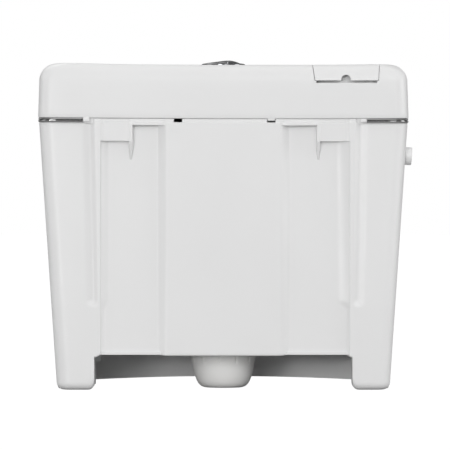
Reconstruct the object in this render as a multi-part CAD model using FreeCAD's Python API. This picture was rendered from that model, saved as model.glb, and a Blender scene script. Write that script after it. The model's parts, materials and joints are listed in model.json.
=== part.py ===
import FreeCAD, Part
import math
import os

# A close-coupled plastic flushing cistern for a lavatory: tapered tank with wall-hanging
# channels, lift-off lid, dual push button, flush valve, float valve and side blanking plug.
# Millimetres. X runs across the width, the wall side is +Y, the front is -Y, Z is up.
# The origin is on the floor plane, under the middle of the tank.

# --- tank -------------------------------------------------------------------------------
TANK_HALF_BASE = 180.2
TANK_HALF_TOP = 199.9
TANK_TAPER_HEIGHT = 290.0
TANK_SEAT = 289.0
WALL = 3.0
REAR_Y = 70.0
FRONT_Y_BASE = -62.0
FRONT_Y_TOP = -70.0
REAR_CORNER = 16.0
FRONT_CORNER = 40.0
BOW_RADIUS = 900.0
FLOOR_LOW = 38.0
FLOOR_TOP = 41.0
REAR_SKIRT_CUT = 36.5
FOOT_INNER = 139.5
FOOT_FRONT = 32.0
FOOT_ROUND = 7.0
APRON_CENTRE_HEIGHT = 10.0
APRON_RADIUS = 3174.0
APRON_REAR_LIMIT = -18.0
RIM_BAND_LOW = 278.0
RIM_WALL = 4.5
LIP_OUT = 2.9
LIP_TOP = 300.0
REAR_RIM_TOP = 293.7
REAR_RIM_HALF = 152.0
LUG_WIDTH = 7.1

# --- rear hanging channels --------------------------------------------------------------
RIB_MERGE_Z = 92.0
OUTER_RECESS = 3.0
CHANNEL_DEPTH_BASE = 2.5
CHANNEL_DEPTH_TOP = 8.5
CHANNEL_PANEL_X = 63.0
CHANNEL_FLOOR_IN_X = 72.0
CHANNEL_FLOOR_OUT_X = 124.0
CHANNEL_COVE_X = 131.5
CHANNEL_COVE_SHARE = 0.6
RIB_DRAFT = 0.02
RIB_IN_X = 133.0
RIB_OUT_X = 138.0
RIB_FOOT_X = 145.0
LEDGE_LOW = 286.8
LEDGE_RELIEF = 2.5
PAD_LOW = 269.4
PAD_IN_X = 101.8
PAD_FACE_Y = 68.6
PAD_SIDE_WALL = 1.2
LEDGE_BACK_Y = 58.5
GUSSET_FOOT_Y = 60.5
GUSSET_IN_X = 98.0
GUSSET_TIP_Z = 249.5
LATCH_X = 49.0
LATCH_WIDTH = 9.0
LATCH_LOW = 290.1
LATCH_TAB_LOW = 291.6

# The -X channel is wider than the other: its rib, gusset and latch slot stand further out,
# and the bright bead ends nearer to the middle on that side.
RIB_SHIFT = 4.0
GUSSET_SHIFT = 2.9
LATCH_SHIFT = 2.8
BEAD_SHIFT = 2.8

# --- valves -----------------------------------------------------------------------------
VALVE_Y = 10.0
OUTLET_HOLE_R = 26.0
INLET_X = 150.0
INLET_HOLE_R = 11.0
PLUG_Y = 42.0
PLUG_Z = 253.5
PLUG_HOLE_R = 7.0
LEVER_PIVOT_Z = 262.0
LEVER_OFFSET_Y = 16.1
LEVER_TIP_ARM = 22.0
ROD_ARM = 14.5
ROD_OFFSET_Y = 8.0
ROD_R = 2.5
THREAD_R = 10.4
THREAD_END_Z = 4.0
THREAD_GROOVE_Z = 27.3

# --- lid --------------------------------------------------------------------------------
LID_LOW = 294.0
LID_TOP = 354.0
LID_HALF_LOW = 200.8
LID_HALF_SHOULDER = 199.5
LID_FRONT_LOW = -71.0
LID_SHOULDER = 329.0
LID_END_ROUND = 25.0
LID_SIDE_ROUND = 14.0
LID_WALL = 2.5
LID_STEPS = 6
BUTTON_HOLE_R = 22.2
FLAP_X_LOW = -168.8
FLAP_X_HIGH = -96.4
FLAP_TAPER_LOW = 1.2
FLAP_TAPER_HIGH = 2.6
FLAP_EDGE_Z = 334.6
FLAP_AXIS_Y = 25.5
FLAP_AXIS_Z = 351.8
FLAP_BARREL_R = 2.2
FLAP_GAP = 0.5
SLOT_LOW = 332.0


def vec(x, y, z):
    return FreeCAD.Vector(x, y, z)


def box(x0, y0, z0, x1, y1, z1):
    return Part.makeBox(x1 - x0, y1 - y0, z1 - z0, vec(x0, y0, z0))


def cylinder(radius, x, y, z0, z1):
    return Part.makeCylinder(radius, z1 - z0, vec(x, y, z0))


def tube(outer, inner, x, y, z0, z1):
    return cylinder(outer, x, y, z0, z1).cut(cylinder(inner, x, y, z0 - 1.0, z1 + 1.0))


def joined(shapes):
    return shapes[0].multiFuse(shapes[1:]).removeSplitter()


def mirrored(shape):
    return shape.mirror(vec(0, 0, 0), vec(1, 0, 0))


def both_sides(shape):
    return [shape, mirrored(shape)]


def revolved(points, x, y):
    """Solid of revolution about a vertical axis from (radius, height) points."""
    corners = [vec(x + r, y, z) for r, z in points]
    corners.append(corners[0])
    face = Part.Face(Part.makePolygon(corners))
    return face.revolve(vec(x, y, 0), vec(0, 0, 1), 360)


def prism_along_x(points, x0, x1):
    """Solid pulled along X from (y, z) points."""
    corners = [vec(x0, y, z) for y, z in points]
    corners.append(corners[0])
    return Part.Face(Part.makePolygon(corners)).extrude(vec(x1 - x0, 0, 0))


def prism_along_y(points, y0, y1):
    """Solid pulled along Y from (x, z) points."""
    corners = [vec(x, y0, z) for x, z in points]
    corners.append(corners[0])
    return Part.Face(Part.makePolygon(corners)).extrude(vec(0, y1 - y0, 0))


def between(low, high, share):
    return low + (high - low) * share


def tank_half(z):
    return between(TANK_HALF_BASE, TANK_HALF_TOP, z / TANK_TAPER_HEIGHT)


def tank_front(z):
    return between(FRONT_Y_BASE, FRONT_Y_TOP, z / TANK_TAPER_HEIGHT)


def channel_depth(z):
    return between(CHANNEL_DEPTH_BASE, CHANNEL_DEPTH_TOP, z / TANK_TAPER_HEIGHT)


def outer_recess(z):
    if z <= RIB_MERGE_Z:
        return 0.0
    return OUTER_RECESS * (z - RIB_MERGE_Z) / (TANK_TAPER_HEIGHT - RIB_MERGE_Z)


def outward(side, shift):
    """How much further out a feature stands on the -X side; nothing on the +X side."""
    return shift if side < 0 else 0.0


def channel_points(z, offset, side):
    """Plan points across one hanging channel, from its outer rib to the central panel."""
    depth = channel_depth(z)
    crest = REAR_Y - offset
    shift = outward(side, RIB_SHIFT)
    return [
        (RIB_IN_X + shift + offset, crest - RIB_DRAFT),
        (CHANNEL_COVE_X + shift + offset, crest - CHANNEL_COVE_SHARE * depth),
        (CHANNEL_FLOOR_OUT_X + shift + 0.5 * offset, crest - depth),
        (CHANNEL_FLOOR_IN_X - 0.5 * offset, crest - depth),
        (CHANNEL_PANEL_X - 0.8 * offset, crest),
    ]


def arc_edge(centre, radius, start_deg, end_deg, z):
    points = []
    for angle in (start_deg, (start_deg + end_deg) / 2.0, end_deg):
        turn = math.radians(angle)
        points.append(vec(centre[0] + radius * math.cos(turn), centre[1] + radius * math.sin(turn), z))
    return Part.Arc(*points).toShape()


def line_edge(start, end):
    return Part.makeLine(start, end)


def plan_wire(z, half, rear, front, rear_radius, front_radius, rear_plus=(), rear_minus=()):
    """Closed plan outline: shaped rear, rounded corners and a shallow bowed front.

    The rear points run inward; those of the -X side are given as distances from the middle.
    """
    bow_y = front + BOW_RADIUS
    reach = BOW_RADIUS - front_radius
    corner_x = half - front_radius
    corner_y = bow_y - math.sqrt(reach ** 2 - corner_x ** 2)
    bow_angle = math.degrees(math.asin(corner_x / reach))
    rear_line = [vec(half - rear_radius, rear, z)]
    for x, y in rear_plus:
        rear_line.append(vec(x, y, z))
    for x, y in reversed(rear_minus):
        rear_line.append(vec(-x, y, z))
    rear_line.append(vec(-half + rear_radius, rear, z))
    edges = [line_edge(vec(half, corner_y, z), vec(half, rear - rear_radius, z))]
    edges.append(arc_edge((half - rear_radius, rear - rear_radius), rear_radius, 0, 90, z))
    for start, end in zip(rear_line, rear_line[1:]):
        edges.append(line_edge(start, end))
    edges.append(arc_edge((-half + rear_radius, rear - rear_radius), rear_radius, 90, 180, z))
    edges.append(line_edge(vec(-half, rear - rear_radius, z), vec(-half, corner_y, z)))
    edges.append(arc_edge((-corner_x, corner_y), front_radius, 180, 270 - bow_angle, z))
    edges.append(arc_edge((0, bow_y), BOW_RADIUS, 270 - bow_angle, 270 + bow_angle, z))
    edges.append(arc_edge((corner_x, corner_y), front_radius, 270 + bow_angle, 360, z))
    return Part.Wire(edges)


def plain_tank_wire(z, offset):
    return plan_wire(z, tank_half(z) - offset, REAR_Y - offset, tank_front(z) + offset,
                     REAR_CORNER - offset, FRONT_CORNER - offset)


def channelled_tank_wire(z, offset):
    """Outline with the two hanging channels; offset moves it into the wall's thickness."""
    crest = REAR_Y - offset
    sides = []
    for side in (1, -1):
        shift = outward(side, RIB_SHIFT)
        rib = [(RIB_FOOT_X + shift, crest - outer_recess(z)), (RIB_OUT_X + shift, crest)]
        sides.append(rib + channel_points(z, offset, side))
    return plan_wire(z, tank_half(z) - offset, crest - outer_recess(z), tank_front(z) + offset,
                     REAR_CORNER - offset, FRONT_CORNER - offset, sides[0], sides[1])


def stacked(wires):
    return Part.makeLoft(wires, True, True)


def plain_block(z0, z1, offset):
    return stacked([plain_tank_wire(z0, offset), plain_tank_wire(z1, offset)])


def placed(shape, side):
    return shape if side > 0 else mirrored(shape)


def hanging_ledge(side):
    """Stepped ledge at the head of one channel: inner shelf, outer pad and gusset between."""
    rib_x = RIB_IN_X + outward(side, RIB_SHIFT) + 1
    pad_x = PAD_IN_X + outward(side, GUSSET_SHIFT)
    gusset_x = GUSSET_IN_X + outward(side, GUSSET_SHIFT)
    shelf = box(CHANNEL_PANEL_X - 1, LEDGE_BACK_Y, LEDGE_LOW, rib_x, REAR_Y, TANK_SEAT)
    pad = box(pad_x, PAD_FACE_Y - WALL, PAD_LOW, rib_x, PAD_FACE_Y, TANK_SEAT)
    pad_floor = box(pad_x, LEDGE_BACK_Y, PAD_LOW, rib_x, PAD_FACE_Y, PAD_LOW + WALL)
    pad_side = box(pad_x, LEDGE_BACK_Y, PAD_LOW, pad_x + PAD_SIDE_WALL, PAD_FACE_Y, TANK_SEAT)
    gusset = prism_along_x([(GUSSET_FOOT_Y, GUSSET_TIP_Z), (PAD_FACE_Y, PAD_LOW), (PAD_FACE_Y, LEDGE_LOW),
                            (GUSSET_FOOT_Y, LEDGE_LOW)], gusset_x, pad_x + 0.2)
    return [placed(piece, side) for piece in (shelf, pad, pad_floor, gusset, pad_side)]


def ledge_relief(ledge_z, side):
    """Short upright stretch of channel wall under a ledge, so that a flat hook seats fully."""
    low = ledge_z - LEDGE_RELIEF
    points = [vec(x, y, low) for x, y in channel_points(ledge_z, 0.0, side)]
    points += [vec(points[-1].x, 80, low), vec(points[0].x, 80, low), points[0]]
    return placed(Part.Face(Part.makePolygon(points)).extrude(vec(0, 0, LEDGE_RELIEF)), side)


def pad_pocket(side):
    """Hollow behind a pad, open to the tank's mouth."""
    low_x = PAD_IN_X + outward(side, GUSSET_SHIFT) + PAD_SIDE_WALL
    high_x = RIB_IN_X + outward(side, RIB_SHIFT) - 1
    return placed(box(low_x, 50, PAD_LOW + WALL, high_x, REAR_Y - RIM_WALL, LIP_TOP + 1), side)


def rim_lug(side):
    """Small lug at the end of the rear rim; the bright bead starts beside it."""
    high = REAR_RIM_HALF - outward(side, BEAD_SHIFT) - 0.1
    return placed(box(high - LUG_WIDTH, REAR_Y - 1.4, TANK_SEAT + 0.6, high, REAR_Y + 0.7, REAR_RIM_TOP), side)


def latch_slot(side):
    middle = LATCH_X + outward(side, LATCH_SHIFT)
    half = LATCH_WIDTH / 2
    return placed(box(middle - half, 60, LATCH_LOW, middle + half, 75, REAR_RIM_TOP), side)


def foot_block():
    """Hollow foot at one rear corner, open towards the front, with a flat sole."""
    outer = plain_block(0.0, FLOOR_LOW + 1.0, 0.0).common(box(FOOT_INNER, FOOT_FRONT, 0, 200, 80, FLOOR_LOW + 1))
    hollow = plain_block(WALL, FLOOR_LOW, WALL)
    return outer.cut(hollow.common(box(FOOT_INNER + WALL, 0, WALL, 200, 80, FLOOR_LOW)))


def foot_round(x_edge, inward, y_start):
    """Tool that rounds one lower edge of a foot, seen from behind."""
    x_centre = x_edge + inward * FOOT_ROUND
    x_out = x_edge - inward
    block = box(min(x_out, x_centre), y_start, -1, max(x_out, x_centre), 75, FOOT_ROUND)
    return block.cut(Part.makeCylinder(FOOT_ROUND, 90, vec(x_centre, 0, FOOT_ROUND), vec(0, 1, 0)))


def tank_cavity():
    """Inside of the tank, from its floor up through the thicker rim band to the open mouth."""
    lower = stacked([channelled_tank_wire(z, WALL) for z in (FLOOR_TOP, RIB_MERGE_Z, RIM_BAND_LOW)])
    band = stacked([channelled_tank_wire(z, RIM_WALL) for z in (RIM_BAND_LOW, TANK_SEAT)])
    mouth = plain_block(TANK_SEAT, LIP_TOP + 1, RIM_WALL)
    return [lower, band, mouth]


def tank_skirt_void():
    """Space under the tank floor, open between the two rear feet."""
    inside = plain_block(-1.0, FLOOR_LOW, WALL)
    return [inside, box(-FOOT_INNER, 20, -1, FOOT_INNER, 80, REAR_SKIRT_CUT)]


def apron_arch():
    centre_z = APRON_CENTRE_HEIGHT - APRON_RADIUS
    arch = Part.makeCylinder(APRON_RADIUS, 100, vec(0, -100, centre_z), vec(0, 1, 0))
    return arch.common(box(-220, -100, -5, 220, APRON_REAR_LIMIT, 20))


def tank_shell():
    body = stacked([channelled_tank_wire(z, 0.0) for z in (0.0, RIB_MERGE_Z, TANK_SEAT)])
    rim = plain_block(TANK_SEAT, LIP_TOP, LIP_OUT)
    rear_rim = plain_block(TANK_SEAT, REAR_RIM_TOP, 0.0)
    rear_rim = rear_rim.common(box(BEAD_SHIFT - REAR_RIM_HALF, 40, 280, REAR_RIM_HALF, 80, 300))
    body = joined([body, rim, rear_rim])
    reliefs = [ledge_relief(z, side) for z in (LEDGE_LOW, PAD_LOW) for side in (1, -1)]
    for cut in tank_cavity() + tank_skirt_void() + reliefs:
        body = body.cut(cut)
    body = joined([body, rim_lug(1), rim_lug(-1)] + hanging_ledge(1) + hanging_ledge(-1)
                  + both_sides(foot_block()))

    tools = [pad_pocket(1), pad_pocket(-1), latch_slot(1), latch_slot(-1), apron_arch()]
    tools += both_sides(foot_round(TANK_HALF_BASE, -1, REAR_Y - REAR_CORNER))
    tools += both_sides(foot_round(FOOT_INNER, 1, FOOT_FRONT - 1))
    tools.append(cylinder(OUTLET_HOLE_R, 0, VALVE_Y, 30, 50))
    tools.append(cylinder(INLET_HOLE_R, INLET_X, VALVE_Y, 30, 50))
    tools.append(plug_axis_cylinder(PLUG_HOLE_R, -20, 20))
    for tool in tools:
        body = body.cut(tool)
    return body


def wall_tilt():
    return math.atan((TANK_HALF_TOP - TANK_HALF_BASE) / TANK_TAPER_HEIGHT)


def plug_axis_cylinder(radius, start, end):
    """Cylinder square to the sloping side wall, measured outward from its outer face."""
    tilt = wall_tilt()
    outward = vec(-math.cos(tilt), 0, -math.sin(tilt))
    foot = vec(-tank_half(PLUG_Z), PLUG_Y, PLUG_Z) + outward * start
    return Part.makeCylinder(radius, end - start, foot, outward)


def side_inlet_plug():
    head = plug_axis_cylinder(9.8, 0.05, 7.3)
    head = head.cut(plug_axis_cylinder(6.0, 4.5, 8.0))
    stem = plug_axis_cylinder(6.9, -14.0, 1.0)
    return head.fuse(stem).removeSplitter()


def side_plug_nut():
    nut = plug_axis_cylinder(12.0, -11.0, -5.1)
    return nut.cut(plug_axis_cylinder(6.95, -12.0, -4.0))


def side_plug_seal():
    ring = plug_axis_cylinder(10.5, -5.05, -WALL - 0.05)
    return ring.cut(plug_axis_cylinder(6.95, -6.0, -2.0))


def trim_strip():
    """Bright bead in the seam; its outside is a shallow ridge."""
    middle = (TANK_SEAT + LID_LOW) / 2.0
    low = TANK_SEAT + 0.05
    high = REAR_RIM_TOP
    bead = stacked([plain_tank_wire(low, 0.3), plain_tank_wire(middle, -1.0)])
    bead = bead.fuse(stacked([plain_tank_wire(middle, -1.0), plain_tank_wire(high, 0.3)]))
    bead = bead.cut(plain_block(low - 1, high + 1, LIP_OUT - 0.05))
    rear_gap = box(BEAD_SHIFT - REAR_RIM_HALF - 0.3, 40, 280, REAR_RIM_HALF + 0.3, 90, 300)
    return bead.cut(rear_gap).removeSplitter()


def notched_nut(radius, inner, x, y, z0, z1, count, depth):
    body = tube(radius, inner, x, y, z0, z1)
    for index in range(count):
        turn = math.radians(360.0 * index / count + 5.5)
        notch = Part.makeBox(2 * depth, 2.4, z1 - z0 + 2, vec(radius - depth, -1.2, z0 - 1))
        notch.rotate(vec(0, 0, 0), vec(0, 0, 1), math.degrees(turn))
        notch.translate(vec(x, y, 0))
        body = body.cut(notch)
    return body


def valve_base():
    tail = [(20, 9.0), (24.8, 9.0), (24.8, 43.3), (38, 43.3), (38, 47.3), (29, 47.3), (29, 49.0),
            (26.5, 49.0), (26.5, 50.0), (23.5, 50.0), (20, 47.0)]
    return revolved(tail, 0, VALVE_Y)


def base_gasket():
    return tube(36, 25.0, 0, VALVE_Y, FLOOR_TOP + 0.03, 43.27)


def valve_lock_nut():
    return notched_nut(31.5, 25.0, 0, VALVE_Y, 30.0, 37.95, 8, 1.5)


def outlet_nut():
    outline = [(17.5, 0.6), (20.5, 0.6), (24.5, 2.3), (28.0, 6.5), (31.6, 15.5), (33.8, 25.0),
               (35.2, 33.5), (35.2, 36.6), (32.4, 36.6), (32.4, 28.5), (25.0, 28.5), (25.0, 5.0), (17.5, 4.2)]
    nut = revolved(outline, 0, VALVE_Y)
    for index in range(12):
        notch = Part.makeBox(4.0, 2.0, 9.0, vec(34.2, -1.0, 28.5))
        notch.rotate(vec(0, 0, 0), vec(0, 0, 1), 90 - 6.0 + 30.0 * index)
        notch.translate(vec(0, VALVE_Y, 0))
        nut = nut.cut(notch)
    return nut


def outlet_seal():
    return revolved([(17.6, 5.1), (24.7, 5.1), (24.7, 8.95), (19.4, 8.95)], 0, VALVE_Y)


def valve_cage():
    """Slotted drum round the seal, closed by a guide plate for the stem."""
    drum = tube(36.0, 33.8, 0, VALVE_Y, 47.35, 104.0)
    for index in range(6):
        window = box(20, -9.5, 52, 40, 9.5, 92)
        window.rotate(vec(0, 0, 0), vec(0, 0, 1), 30 + 60 * index)
        window.translate(vec(0, VALVE_Y, 0))
        drum = drum.cut(window)
    plate = tube(36.0, 13.6, 0, VALVE_Y, 101.0, 104.0)
    return joined([drum, plate])


def cage_bridge():
    """Two uprights on the cage, a cross plate that guides the stem and the half-flush rod."""
    parts = []
    for side in (-1, 1):
        low = VALVE_Y + side * 18.3
        high = VALVE_Y + side * 21.3
        parts.append(box(-7, min(low, high), 104.05, 7, max(low, high), LEVER_PIVOT_Z + 6))
        foot_low = VALVE_Y + side * 15.0
        foot_high = VALVE_Y + side * 27.0
        parts.append(box(-11, min(foot_low, foot_high), 104.05, 11, max(foot_low, foot_high), 107.0))
    cross = box(-17, VALVE_Y - 21.3, 228, 17, VALVE_Y + 21.3, 231)
    wing = box(15, VALVE_Y - 21.3, 228, 36, VALVE_Y - 11.0, 231)
    body = joined(parts + [cross, wing])
    body = body.cut(cylinder(13.6, 0, VALVE_Y, 220, 240))
    body = body.cut(cylinder(2.4, 30, VALVE_Y - LEVER_OFFSET_Y, 220, 240))
    body = body.cut(box(-18, VALVE_Y - 4, 220, -12, VALVE_Y + 4, 240))
    for side in (-1, 1):
        body = body.cut(Part.makeCylinder(2.0, 10, vec(0, VALVE_Y + side * 20 - 5, LEVER_PIVOT_Z), vec(0, 1, 0)))
    return body


def lever_pin(side):
    start = VALVE_Y + min(side * 13.6, side * 21.3)
    return Part.makeCylinder(1.97, 7.7, vec(0, start, LEVER_PIVOT_Z), vec(0, 1, 0))


def rocker_lever(side):
    """Rocker on one side of the stem: pad under the push rod, tip under the lifting wing."""
    y0 = VALVE_Y + side * LEVER_OFFSET_Y - 1.5
    y1 = y0 + 3.0
    z = LEVER_PIVOT_Z
    hub = Part.makeCylinder(4.5, 3.0, vec(0, y0, z), vec(0, 1, 0))
    bar = box(-LEVER_TIP_ARM, y0, z - 2, ROD_ARM + 3.5, y1, z + 2)
    tip = Part.makeCylinder(2.0, 3.0, vec(-LEVER_TIP_ARM, y0, z), vec(0, 1, 0))
    pad_far = y1 if side > 0 else y0
    pad_near = VALVE_Y + side * 4.5
    pad = box(ROD_ARM - 3.5, min(pad_near, pad_far), z - 2, ROD_ARM + 3.5, max(pad_near, pad_far), z + 2)
    lever = joined([hub, bar, tip, pad])
    lever = lever.cut(Part.makeCylinder(2.03, 10, vec(0, y0 - 3, z), vec(0, 1, 0)))
    if side < 0:
        lever = mirrored(lever)
    return lever


def overflow_tube():
    """Hollow stem: overflow pipe above, seal carrier below, and a wing the full lever lifts."""
    pipe = tube(13.0, 11.0, 0, VALVE_Y, 53.2, 224.0)
    disc = tube(29.5, 11.0, 0, VALVE_Y, 53.2, 56.0)
    boss = tube(17.0, 12.5, 0, VALVE_Y, 56.0, 62.0)
    post = box(-16.5, VALVE_Y - 3, 205, -12.2, VALVE_Y + 3, LEVER_PIVOT_Z + 5.6)
    wing = box(-26, VALVE_Y - 3, LEVER_PIVOT_Z + 2.6, -12.2, VALVE_Y + 17.6, LEVER_PIVOT_Z + 5.6)
    return joined([pipe, disc, boss, post, wing])


def valve_seal():
    return revolved([(14.0, 50.5), (31.0, 50.5), (31.0, 52.4), (29.0, 53.15), (14.0, 53.15)], 0, VALVE_Y)


def half_flush_float():
    """Small inverted can on its own rod; it lets the seal drop early on the short flush."""
    rod_y = VALVE_Y - LEVER_OFFSET_Y
    can = box(21, rod_y - 9, 122, 39, rod_y + 7, 160)
    can = can.cut(box(22.4, rod_y - 7.6, 121, 37.6, rod_y + 5.6, 158.6))
    rod = cylinder(2.0, 30, rod_y, 158.6, LEVER_PIVOT_Z + 5.6)
    wing = box(17.5, rod_y - 2.0, LEVER_PIVOT_Z + 2.6, 32.0, rod_y + 2.0, LEVER_PIVOT_Z + 5.6)
    return joined([can, rod, wing])


def fill_valve_shank():
    """Inlet shank: chamfered half-inch thread, a run-out groove under the nut, and a flange."""
    end = THREAD_END_Z
    groove = THREAD_GROOVE_Z
    outline = [(5.0, end), (THREAD_R - 0.8, end), (THREAD_R, end + 0.8), (THREAD_R, groove),
               (THREAD_R - 0.5, groove + 0.5), (THREAD_R - 0.5, groove + 1.0), (THREAD_R, groove + 1.4),
               (THREAD_R, 43.3), (17.0, 43.3), (17.0, 47.0), (5.0, 47.0)]
    return revolved(outline, INLET_X, VALVE_Y)


def fill_valve_washer():
    return tube(17.0, THREAD_R + 0.05, INLET_X, VALVE_Y, FLOOR_TOP + 0.03, 43.27)


def hex_prism(across_flats, x, y, z0, z1):
    corner = across_flats / math.sqrt(3.0)
    points = []
    for index in range(7):
        turn = math.radians(60 * index)
        points.append(vec(x + corner * math.cos(turn), y + corner * math.sin(turn), z0))
    return Part.Face(Part.makePolygon(points)).extrude(vec(0, 0, z1 - z0))


def fill_valve_nut():
    nut = hex_prism(28.0, INLET_X, VALVE_Y, 29.0, 35.0).fuse(cylinder(17.0, INLET_X, VALVE_Y, 35.0, 37.95))
    return nut.cut(cylinder(THREAD_R + 0.05, INLET_X, VALVE_Y, 20, 40)).removeSplitter()


def fill_valve_riser():
    lower = tube(11.0, 6.0, INLET_X, VALVE_Y, 47.05, 70.0)
    upper = tube(8.5, 6.0, INLET_X, VALVE_Y, 69.0, 226.0)
    refill = tube(4.0, 2.8, INLET_X + 15.5, VALVE_Y, 80.0, 226.0)
    tie = box(INLET_X + 8.0, VALVE_Y - 1.5, 100, INLET_X + 12.5, VALVE_Y + 1.5, 106)
    return joined([lower, upper, refill, tie])


def fill_valve_head():
    """Chamber on the riser with a screwed cap and two cheeks for the float lever."""
    chamber = cylinder(15.0, INLET_X, VALVE_Y, 226.05, 250.0)
    cap = cylinder(17.0, INLET_X, VALVE_Y, 250.0, 260.0)
    spout = cylinder(5.5, INLET_X + 15.5, VALVE_Y, 226.05, 240.0)
    cheeks = []
    for low in (VALVE_Y - 8.0, VALVE_Y + 5.0):
        cheeks.append(box(INLET_X - 24.0, low, 238, INLET_X - 10.0, low + 3.0, 249.0))
    body = joined([chamber, cap, spout] + cheeks)
    body = body.cut(Part.makeCylinder(1.55, 30, vec(INLET_X - 20.0, VALVE_Y - 15, 244), vec(0, 1, 0)))
    return body


def float_lever_pin():
    return Part.makeCylinder(1.5, 17.0, vec(INLET_X - 20.0, VALVE_Y - 8.5, 244), vec(0, 1, 0))


def float_lever():
    hub = Part.makeCylinder(3.6, 9.0, vec(INLET_X - 20.0, VALVE_Y - 4.5, 244), vec(0, 1, 0))
    arm = box(INLET_X - 66.0, VALVE_Y - 3.5, 242.0, INLET_X - 20.0, VALVE_Y + 3.5, 246.0)
    eye = cylinder(6.0, INLET_X - 66.0, VALVE_Y, 240.0, 248.0)
    lever = joined([hub, arm, eye])
    lever = lever.cut(Part.makeCylinder(1.55, 20, vec(INLET_X - 20.0, VALVE_Y - 10, 244), vec(0, 1, 0)))
    return lever.cut(cylinder(2.5, INLET_X - 66.0, VALVE_Y, 230, 260))


def float_rod():
    return joined([cylinder(2.45, INLET_X - 66.0, VALVE_Y, 186.0, 270.0),
                   cylinder(5.0, INLET_X - 66.0, VALVE_Y, 248.05, 252.0)])


def float_cup():
    """Inverted cup with a domed lid, open underneath."""
    cup = cylinder(22.0, INLET_X - 66.0, VALVE_Y, 140.0, 186.0)
    return cup.cut(cylinder(20.4, INLET_X - 66.0, VALVE_Y, 139.0, 184.4)).cut(
        cylinder(2.5, INLET_X - 66.0, VALVE_Y, 180, 190))


def lid_wires(offset, low):
    """Outlines of the lid from its lower edge, up its drafted sides and over the rounded top."""
    wires = [plan_wire(low, LID_HALF_LOW - offset, REAR_Y - offset, LID_FRONT_LOW + offset,
                       REAR_CORNER - offset, FRONT_CORNER - offset)]
    for step in range(LID_STEPS + 1):
        turn = math.radians(90.0 * step / LID_STEPS)
        inset = 1.0 - math.cos(turn)
        height = LID_SHOULDER + (LID_END_ROUND - offset) * math.sin(turn)
        half = LID_HALF_SHOULDER - offset - (LID_END_ROUND - offset) * inset
        side = (LID_SIDE_ROUND - offset) * inset
        wires.append(plan_wire(height, half, REAR_Y - offset - side, -70.0 + offset + side,
                               REAR_CORNER - offset - 6.0 * inset, FRONT_CORNER - offset - 12.0 * inset))
    return wires


def lid_skin():
    outer = stacked(lid_wires(0.0, LID_LOW))
    inner = stacked(lid_wires(LID_WALL, LID_LOW - 1.0))
    return outer.cut(inner)


def flap_outline(edge_z, gap, y0):
    """Block seen from behind as the flap: straight above, tapering towards its lower edge."""
    low, high = FLAP_X_LOW - gap, FLAP_X_HIGH + gap
    corners = [(low, 360), (low, LID_TOP), (low + FLAP_TAPER_LOW, edge_z),
               (high - FLAP_TAPER_HIGH, edge_z), (high, LID_TOP), (high, 360)]
    return prism_along_y(corners, y0, 80)


def flap_window():
    return flap_outline(SLOT_LOW, FLAP_GAP, FLAP_AXIS_Y - FLAP_BARREL_R - 0.7)


def flap_stop():
    """Flange inside the lid's rear wall that closes the gap behind the flap's lower edge."""
    face = REAR_Y - LID_WALL
    profile = [(face - 6.6, SLOT_LOW - 6.0), (face + 0.1, SLOT_LOW - 6.0), (face + 0.1, SLOT_LOW - 2.6),
               (face - 4.8, SLOT_LOW - 1.4), (face - 5.3, SLOT_LOW + 10.4), (face - 6.6, SLOT_LOW + 10.4)]
    return prism_along_x(profile, FLAP_X_LOW - 1.0, FLAP_X_HIGH + 1.0)


def lid_shell(skin):
    body = skin.cut(flap_window())
    body = body.cut(cylinder(BUTTON_HOLE_R, 0, VALVE_Y, 340, 360))
    extras = []
    for low, high in ((FLAP_X_HIGH + FLAP_GAP, FLAP_X_HIGH + 7.0), (FLAP_X_LOW - 7.0, FLAP_X_LOW - FLAP_GAP)):
        extras.append(box(low, 20.5, 347.0, high, 30.5, 352.0))
    for low in (FLAP_X_HIGH + 4.0, FLAP_X_LOW - 7.0):
        extras.append(box(low, 32.0, 338.0, low + 3.0, 52.0, 352.0))
    for x in (-60.0, 60.0):
        extras.append(box(x - 1.0, -60.0, 344.0, x + 1.0, 62.0, 352.0))
    extras.append(flap_stop())
    latch_half = LATCH_WIDTH / 2 - FLAP_GAP
    latch_x = -LATCH_X - LATCH_SHIFT
    extras.append(box(latch_x - latch_half, REAR_Y - LID_WALL + 0.1, LATCH_TAB_LOW,
                      latch_x + latch_half, REAR_Y - 0.2, LID_LOW + 2.0))
    body = joined([body] + extras)
    hole = Part.makeCylinder(1.27, 90, vec(FLAP_X_LOW - 5.5, FLAP_AXIS_Y, FLAP_AXIS_Z), vec(1, 0, 0))
    return body.cut(hole.common(box(-180, 20, 345, -91.5, 30, 356)))


def access_flap(skin):
    cover = skin.common(flap_outline(FLAP_EDGE_Z, 0.0, FLAP_AXIS_Y))
    length = FLAP_X_HIGH - FLAP_X_LOW
    barrel = Part.makeCylinder(FLAP_BARREL_R, length, vec(FLAP_X_LOW, FLAP_AXIS_Y, FLAP_AXIS_Z), vec(1, 0, 0))
    trunnion = Part.makeCylinder(1.2, length + 8.0, vec(FLAP_X_LOW - 4.0, FLAP_AXIS_Y, FLAP_AXIS_Z), vec(1, 0, 0))
    flap = joined([cover, barrel, trunnion])
    middle = (FLAP_X_LOW + FLAP_X_HIGH) / 2.0
    notch = Part.makeCylinder(5.4, 20, vec(middle, 60, FLAP_EDGE_Z + 0.8), vec(0, 1, 0))
    return flap.cut(notch)


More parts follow.
